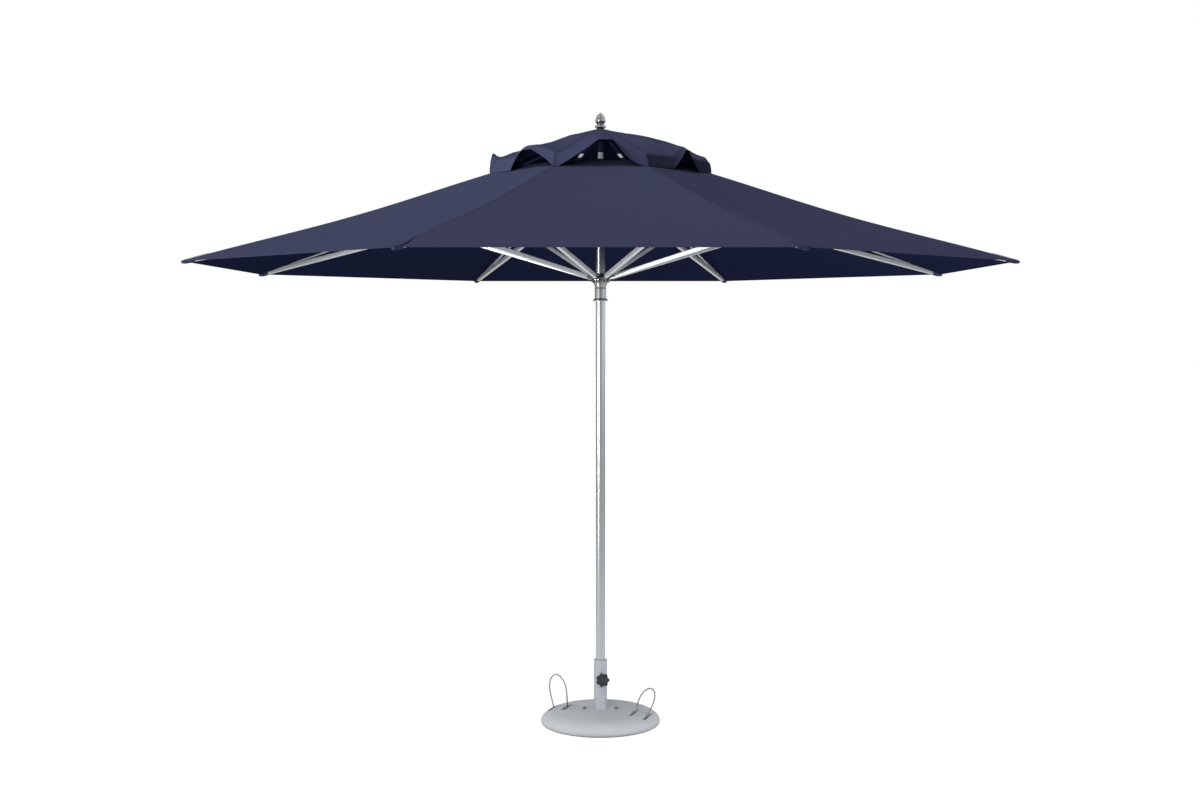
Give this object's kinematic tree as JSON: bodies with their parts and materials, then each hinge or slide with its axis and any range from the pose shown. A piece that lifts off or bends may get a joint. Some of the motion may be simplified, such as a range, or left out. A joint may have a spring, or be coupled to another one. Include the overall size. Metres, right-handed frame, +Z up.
{
  "type": "patio umbrella",
  "caption": "Octagonal patio umbrella with a vent cap, folding ribs and a sliding runner, clamped in a round weighted base with wire handles.",
  "frame": {"origin": "on the floor under the mast's axis, at the bottom centre of the box", "axes": "+Z up along the mast; -Y towards the clamp's side and the front hem edge; +X to the right of it"},
  "size_m": [3.6956, 3.6956, 3],
  "materials": {
    "casting": "smooth moulded resin concrete, satin, warm pale grey",
    "steel_paint": "satin grey powder coat",
    "zinc": "zinc-plated, semi-bright",
    "anodised": "clear anodised, brushed",
    "chrome": "polished chrome plate",
    "nylon": "dark moulded nylon, matt",
    "nylon_pale": "pale grey moulded nylon, matt",
    "rubber": "matt black",
    "fabric": "woven polyester, dark navy, matt"
  },
  "bodies": {
    "base": {"base_body": "casting", "foot_ring": "rubber", "flange_plate": "steel_paint", "plate_bolt_left": "zinc", "plate_bolt_right": "zinc", "sleeve_tube": "steel_paint", "sleeve_foot_bush": "nylon", "clamp_boss": "steel_paint"},
    "clamp_screw": {"clamp_stud": "zinc"},
    "clamp_handwheel": {"clamp_knob": "nylon"},
    "handle_left": {"carry_handle_left": "zinc"},
    "handle_right": {"carry_handle_right": "zinc"},
    "sleeve_bush": {"sleeve_top_bush": "nylon_pale"},
    "mast": {"mast_pole": "anodised", "pole_foot_plug": "nylon", "pole_top_bush": "nylon", "hub_body": "anodised", "hub_pivot_ring": "zinc", "crown_rod": "anodised", "crown_hub": "nylon", "cap_washer": "nylon", "finial": "chrome", "vent_cap": "fabric"},
    "runner": {"runner_body": "chrome", "runner_bush": "nylon", "runner_pivot_ring": "zinc"},
    "latch": {"latch_button": "nylon"},
    "rib_1": {"rib_1": "anodised", "canopy_sector_1": "fabric"},
    "strut_1": {"strut_1": "anodised"},
    "vent_arm_1": {"vent_arm_1": "nylon"},
    "rib_2": {"rib_2": "anodised", "canopy_sector_2": "fabric"},
    "strut_2": {"strut_2": "anodised"},
    "vent_arm_2": {"vent_arm_2": "nylon"},
    "rib_3": {"rib_3": "anodised", "canopy_sector_3": "fabric"},
    "strut_3": {"strut_3": "anodised"},
    "vent_arm_3": {"vent_arm_3": "nylon"},
    "rib_4": {"rib_4": "anodised", "canopy_sector_4": "fabric"},
    "strut_4": {"strut_4": "anodised"},
    "vent_arm_4": {"vent_arm_4": "nylon"},
    "rib_5": {"rib_5": "anodised", "canopy_sector_5": "fabric"},
    "strut_5": {"strut_5": "anodised"},
    "vent_arm_5": {"vent_arm_5": "nylon"},
    "rib_6": {"rib_6": "anodised", "canopy_sector_6": "fabric"},
    "strut_6": {"strut_6": "anodised"},
    "vent_arm_6": {"vent_arm_6": "nylon"},
    "rib_7": {"rib_7": "anodised", "canopy_sector_7": "fabric"},
    "strut_7": {"strut_7": "anodised"},
    "vent_arm_7": {"vent_arm_7": "nylon"},
    "rib_8": {"rib_8": "anodised", "canopy_sector_8": "fabric"},
    "strut_8": {"strut_8": "anodised"},
    "vent_arm_8": {"vent_arm_8": "nylon"}
  },
  "joints": [
    {"name": "mast_turn", "type": "hinge", "parent": "base", "child": "sleeve_bush", "pos_m": [0, 0, 0.3], "axis": [0, 0, 1], "continuous": true},
    {"name": "mast_lift", "type": "slide", "parent": "sleeve_bush", "child": "mast", "axis": [0, 0, 1], "range_m": [0, 0.3]},
    {"name": "clamp_travel", "type": "slide", "parent": "base", "child": "clamp_screw", "axis": [0.1736, -0.9848, 0], "range_m": [0, 0.0045]},
    {"name": "clamp_turn", "type": "hinge", "parent": "clamp_screw", "child": "clamp_handwheel", "pos_m": [0.01042, -0.05909, 0.224], "axis": [0.1736, -0.9848, 0], "range_deg": [0, 1080]},
    {"name": "handle_left_swing", "type": "hinge", "parent": "base", "child": "handle_left", "pos_m": [-0.19546, 0.07114, 0.044], "axis": [-0.9397, 0.342, 0], "range_deg": [-60, 76]},
    {"name": "handle_right_swing", "type": "hinge", "parent": "base", "child": "handle_right", "pos_m": [0.19546, -0.07114, 0.044], "axis": [0.9397, -0.342, 0], "range_deg": [-14, 122]},
    {"name": "rib_1_fold", "type": "hinge", "parent": "mast", "child": "rib_1", "pos_m": [0.01531, -0.03696, 2.628], "axis": [0.9239, 0.3827, 0], "range_deg": [0, 73], "deforming": ["canopy_sector_1"]},
    {"name": "strut_1_fold", "type": "hinge", "parent": "rib_1", "child": "strut_1", "pos_m": [0.31265, -0.75481, 2.4065], "axis": [0.9239, 0.3827, 0], "range_deg": [-146, 0]},
    {"name": "vent_arm_1_fold", "type": "hinge", "parent": "mast", "child": "vent_arm_1", "pos_m": [0.00918, -0.02217, 2.906], "axis": [0.9239, 0.3827, 0], "range_deg": [0, 44.1], "deforming": ["vent_cap"]},
    {"name": "rib_2_fold", "type": "hinge", "parent": "mast", "child": "rib_2", "pos_m": [0.03696, -0.01531, 2.628], "axis": [0.3827, 0.9239, 0], "range_deg": [0, 73], "deforming": ["canopy_sector_2"]},
    {"name": "strut_2_fold", "type": "hinge", "parent": "rib_2", "child": "strut_2", "pos_m": [0.75481, -0.31265, 2.4065], "axis": [0.3827, 0.9239, 0], "range_deg": [-146, 0]},
    {"name": "vent_arm_2_fold", "type": "hinge", "parent": "mast", "child": "vent_arm_2", "pos_m": [0.02217, -0.00918, 2.906], "axis": [0.3827, 0.9239, 0], "range_deg": [0, 44.1]},
    {"name": "rib_3_fold", "type": "hinge", "parent": "mast", "child": "rib_3", "pos_m": [0.03696, 0.01531, 2.628], "axis": [-0.3827, 0.9239, 0], "range_deg": [0, 73], "deforming": ["canopy_sector_3"]},
    {"name": "strut_3_fold", "type": "hinge", "parent": "rib_3", "child": "strut_3", "pos_m": [0.75481, 0.31265, 2.4065], "axis": [-0.3827, 0.9239, 0], "range_deg": [-146, 0]},
    {"name": "vent_arm_3_fold", "type": "hinge", "parent": "mast", "child": "vent_arm_3", "pos_m": [0.02217, 0.00918, 2.906], "axis": [-0.3827, 0.9239, 0], "range_deg": [0, 44.1]},
    {"name": "rib_4_fold", "type": "hinge", "parent": "mast", "child": "rib_4", "pos_m": [0.01531, 0.03696, 2.628], "axis": [-0.9239, 0.3827, 0], "range_deg": [0, 73], "deforming": ["canopy_sector_4"]},
    {"name": "strut_4_fold", "type": "hinge", "parent": "rib_4", "child": "strut_4", "pos_m": [0.31265, 0.75481, 2.4065], "axis": [-0.9239, 0.3827, 0], "range_deg": [-146, 0]},
    {"name": "vent_arm_4_fold", "type": "hinge", "parent": "mast", "child": "vent_arm_4", "pos_m": [0.00918, 0.02217, 2.906], "axis": [-0.9239, 0.3827, 0], "range_deg": [0, 44.1]},
    {"name": "rib_5_fold", "type": "hinge", "parent": "mast", "child": "rib_5", "pos_m": [-0.01531, 0.03696, 2.628], "axis": [-0.9239, -0.3827, 0], "range_deg": [0, 73], "deforming": ["canopy_sector_5"]},
    {"name": "strut_5_fold", "type": "hinge", "parent": "rib_5", "child": "strut_5", "pos_m": [-0.31265, 0.75481, 2.4065], "axis": [-0.9239, -0.3827, 0], "range_deg": [-146, 0]},
    {"name": "vent_arm_5_fold", "type": "hinge", "parent": "mast", "child": "vent_arm_5", "pos_m": [-0.00918, 0.02217, 2.906], "axis": [-0.9239, -0.3827, 0], "range_deg": [0, 44.1]},
    {"name": "rib_6_fold", "type": "hinge", "parent": "mast", "child": "rib_6", "pos_m": [-0.03696, 0.01531, 2.628], "axis": [-0.3827, -0.9239, 0], "range_deg": [0, 73], "deforming": ["canopy_sector_6"]},
    {"name": "strut_6_fold", "type": "hinge", "parent": "rib_6", "child": "strut_6", "pos_m": [-0.75481, 0.31265, 2.4065], "axis": [-0.3827, -0.9239, 0], "range_deg": [-146, 0]},
    {"name": "vent_arm_6_fold", "type": "hinge", "parent": "mast", "child": "vent_arm_6", "pos_m": [-0.02217, 0.00918, 2.906], "axis": [-0.3827, -0.9239, 0], "range_deg": [0, 44.1]},
    {"name": "rib_7_fold", "type": "hinge", "parent": "mast", "child": "rib_7", "pos_m": [-0.03696, -0.01531, 2.628], "axis": [0.3827, -0.9239, 0], "range_deg": [0, 73], "deforming": ["canopy_sector_7"]},
    {"name": "strut_7_fold", "type": "hinge", "parent": "rib_7", "child": "strut_7", "pos_m": [-0.75481, -0.31265, 2.4065], "axis": [0.3827, -0.9239, 0], "range_deg": [-146, 0]},
    {"name": "vent_arm_7_fold", "type": "hinge", "parent": "mast", "child": "vent_arm_7", "pos_m": [-0.02217, -0.00918, 2.906], "axis": [0.3827, -0.9239, 0], "range_deg": [0, 44.1]},
    {"name": "rib_8_fold", "type": "hinge", "parent": "mast", "child": "rib_8", "pos_m": [-0.01531, -0.03696, 2.628], "axis": [0.9239, -0.3827, 0], "range_deg": [0, 73], "deforming": ["canopy_sector_8"]},
    {"name": "strut_8_fold", "type": "hinge", "parent": "rib_8", "child": "strut_8", "pos_m": [-0.31265, -0.75481, 2.4065], "axis": [0.9239, -0.3827, 0], "range_deg": [-146, 0]},
    {"name": "vent_arm_8_fold", "type": "hinge", "parent": "mast", "child": "vent_arm_8", "pos_m": [-0.00918, -0.02217, 2.906], "axis": [0.9239, -0.3827, 0], "range_deg": [0, 44.1]},
    {"name": "runner_level", "type": "hinge", "parent": "strut_1", "child": "runner", "pos_m": [0.01531, -0.03696, 2.185], "axis": [0.9239, 0.3827, 0], "range_deg": [0, 73]},
    {"name": "latch_press", "type": "slide", "parent": "runner", "child": "latch", "axis": [0, -1, 0], "range_m": [0, 0.0024], "stiffness_N_per_m": 600, "springref_m": -0.001}
  ],
  "couplings": [
    {"joint": "clamp_travel", "follows": "clamp_turn", "m_per_rad": 0.00023873},
    {"joint": "strut_1_fold", "follows": "rib_1_fold", "ratio": -2},
    {"joint": "vent_arm_1_fold", "follows": "rib_1_fold", "ratio": 0.603},
    {"joint": "rib_2_fold", "follows": "rib_1_fold", "ratio": 1},
    {"joint": "strut_2_fold", "follows": "rib_1_fold", "ratio": -2},
    {"joint": "vent_arm_2_fold", "follows": "rib_1_fold", "ratio": 0.603},
    {"joint": "rib_3_fold", "follows": "rib_1_fold", "ratio": 1},
    {"joint": "strut_3_fold", "follows": "rib_1_fold", "ratio": -2},
    {"joint": "vent_arm_3_fold", "follows": "rib_1_fold", "ratio": 0.603},
    {"joint": "rib_4_fold", "follows": "rib_1_fold", "ratio": 1},
    {"joint": "strut_4_fold", "follows": "rib_1_fold", "ratio": -2},
    {"joint": "vent_arm_4_fold", "follows": "rib_1_fold", "ratio": 0.603},
    {"joint": "rib_5_fold", "follows": "rib_1_fold", "ratio": 1},
    {"joint": "strut_5_fold", "follows": "rib_1_fold", "ratio": -2},
    {"joint": "vent_arm_5_fold", "follows": "rib_1_fold", "ratio": 0.603},
    {"joint": "rib_6_fold", "follows": "rib_1_fold", "ratio": 1},
    {"joint": "strut_6_fold", "follows": "rib_1_fold", "ratio": -2},
    {"joint": "vent_arm_6_fold", "follows": "rib_1_fold", "ratio": 0.603},
    {"joint": "rib_7_fold", "follows": "rib_1_fold", "ratio": 1},
    {"joint": "strut_7_fold", "follows": "rib_1_fold", "ratio": -2},
    {"joint": "vent_arm_7_fold", "follows": "rib_1_fold", "ratio": 0.603},
    {"joint": "rib_8_fold", "follows": "rib_1_fold", "ratio": 1},
    {"joint": "strut_8_fold", "follows": "rib_1_fold", "ratio": -2},
    {"joint": "vent_arm_8_fold", "follows": "rib_1_fold", "ratio": 0.603},
    {"joint": "runner_level", "follows": "rib_1_fold", "ratio": 1}
  ]
}
